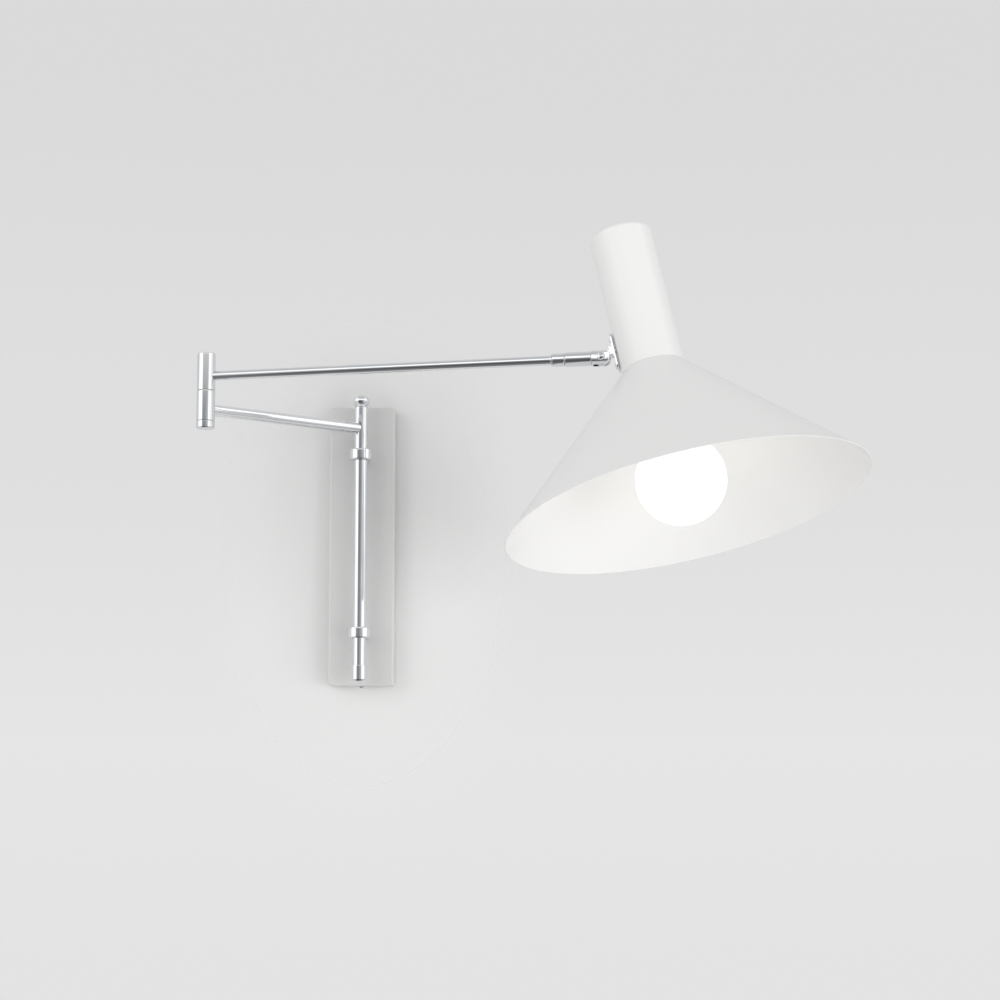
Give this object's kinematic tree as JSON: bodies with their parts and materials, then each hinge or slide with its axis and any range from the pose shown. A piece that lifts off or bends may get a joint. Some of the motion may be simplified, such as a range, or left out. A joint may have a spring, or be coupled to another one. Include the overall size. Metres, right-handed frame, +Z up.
{
  "type": "swing arm wall lamp",
  "caption": "Wall lamp with a slim white back plate, a turning chrome rod, two hinged swing arms and a white cone shade on a tilting, swivelling knuckle.",
  "frame": {"origin": "middle of the wall bracket's back face, on the wall's surface", "axes": "+Z up, +Y into the wall, so the lamp stands out towards -Y, +X to the right as seen from the room"},
  "size_m": [0.5576, 0.4118, 0.3785],
  "materials": {
    "chrome": "polished chrome plate",
    "white_lacquer": "white semi-gloss lacquer on sheet metal",
    "shade_lacquer": "white semi-gloss lacquer on spun aluminium",
    "zinc": "zinc-plated steel",
    "brass": "plain brass",
    "nylon": "natural nylon",
    "bakelite": "black moulded thermoset",
    "ceramic": "unglazed white steatite",
    "rubber": "black rubber",
    "opal_glass": "opal white glass, lit from inside",
    "lead_brown": "brown wire insulation",
    "lead_blue": "blue wire insulation"
  },
  "bodies": {
    "wall_mount": {"wall_bracket": "zinc", "canopy": "white_lacquer", "canopy_screw_bottom": "chrome", "canopy_screw_top": "chrome", "upper_collar": "chrome", "lower_collar": "chrome", "upper_bush": "nylon", "lower_bush": "nylon", "upper_collar_washer": "zinc", "lower_collar_washer": "zinc", "upper_collar_nut": "zinc", "lower_collar_nut": "zinc", "collar_set_screw": "zinc", "terminal_block": "ceramic", "earth_screw": "brass", "cable_grommet": "rubber", "lead_live": "lead_brown", "lead_neutral": "lead_blue"},
    "rod": {"rod_tube": "chrome", "rod_finial": "chrome", "rod_end_cap": "chrome", "short_arm_tube": "chrome", "elbow_lower_barrel": "chrome", "elbow_bottom_plug": "chrome", "elbow_pin": "zinc", "elbow_washer": "nylon"},
    "long_arm": {"elbow_upper_barrel": "chrome", "elbow_top_plug": "chrome", "long_arm_tube": "chrome", "arm_end_ring": "chrome", "arm_end_ferrule": "chrome", "swivel_spindle": "zinc"},
    "wrist": {"swivel_sleeve": "chrome", "knuckle_fork": "chrome", "tilt_screw": "chrome", "tilt_nut": "chrome", "friction_washer_front": "nylon", "friction_washer_rear": "nylon"},
    "head": {"knuckle_tongue": "chrome", "mount_plate": "chrome", "knuckle_nut": "zinc", "mount_screw_lower": "chrome", "mount_screw_upper": "chrome", "mount_nut_lower": "zinc", "mount_nut_upper": "zinc", "neck_housing": "shade_lacquer", "shade_cone": "shade_lacquer", "shade_finial": "chrome", "centre_rod": "zinc", "centre_rod_nut": "zinc", "lampholder_cap": "bakelite", "lampholder_body": "bakelite", "shade_ring": "bakelite", "lampholder_insert": "ceramic", "screw_shell": "brass", "centre_contact": "brass", "bulb_cap": "zinc", "bulb_globe": "opal_glass"}
  },
  "joints": [
    {"name": "rod_swing", "type": "hinge", "parent": "wall_mount", "child": "rod", "pos_m": [0, -0.042, 0], "axis": [0, 0, 1], "range_deg": [-40, 140]},
    {"name": "elbow_swing", "type": "hinge", "parent": "rod", "child": "long_arm", "pos_m": [-0.1264, -0.14806, 0.121], "axis": [0, 0, 1], "range_deg": [-276, 23]},
    {"name": "wrist_roll", "type": "hinge", "parent": "long_arm", "child": "wrist", "pos_m": [0.19157, -0.2244, 0.134], "axis": [0.9724, -0.2334, 0], "range_deg": [-80, 97]},
    {"name": "head_tilt", "type": "hinge", "parent": "wrist", "child": "head", "pos_m": [0.21053, -0.22895, 0.134], "axis": [-0.2309, -0.9617, 0.1478], "range_deg": [-59, 61]}
  ]
}
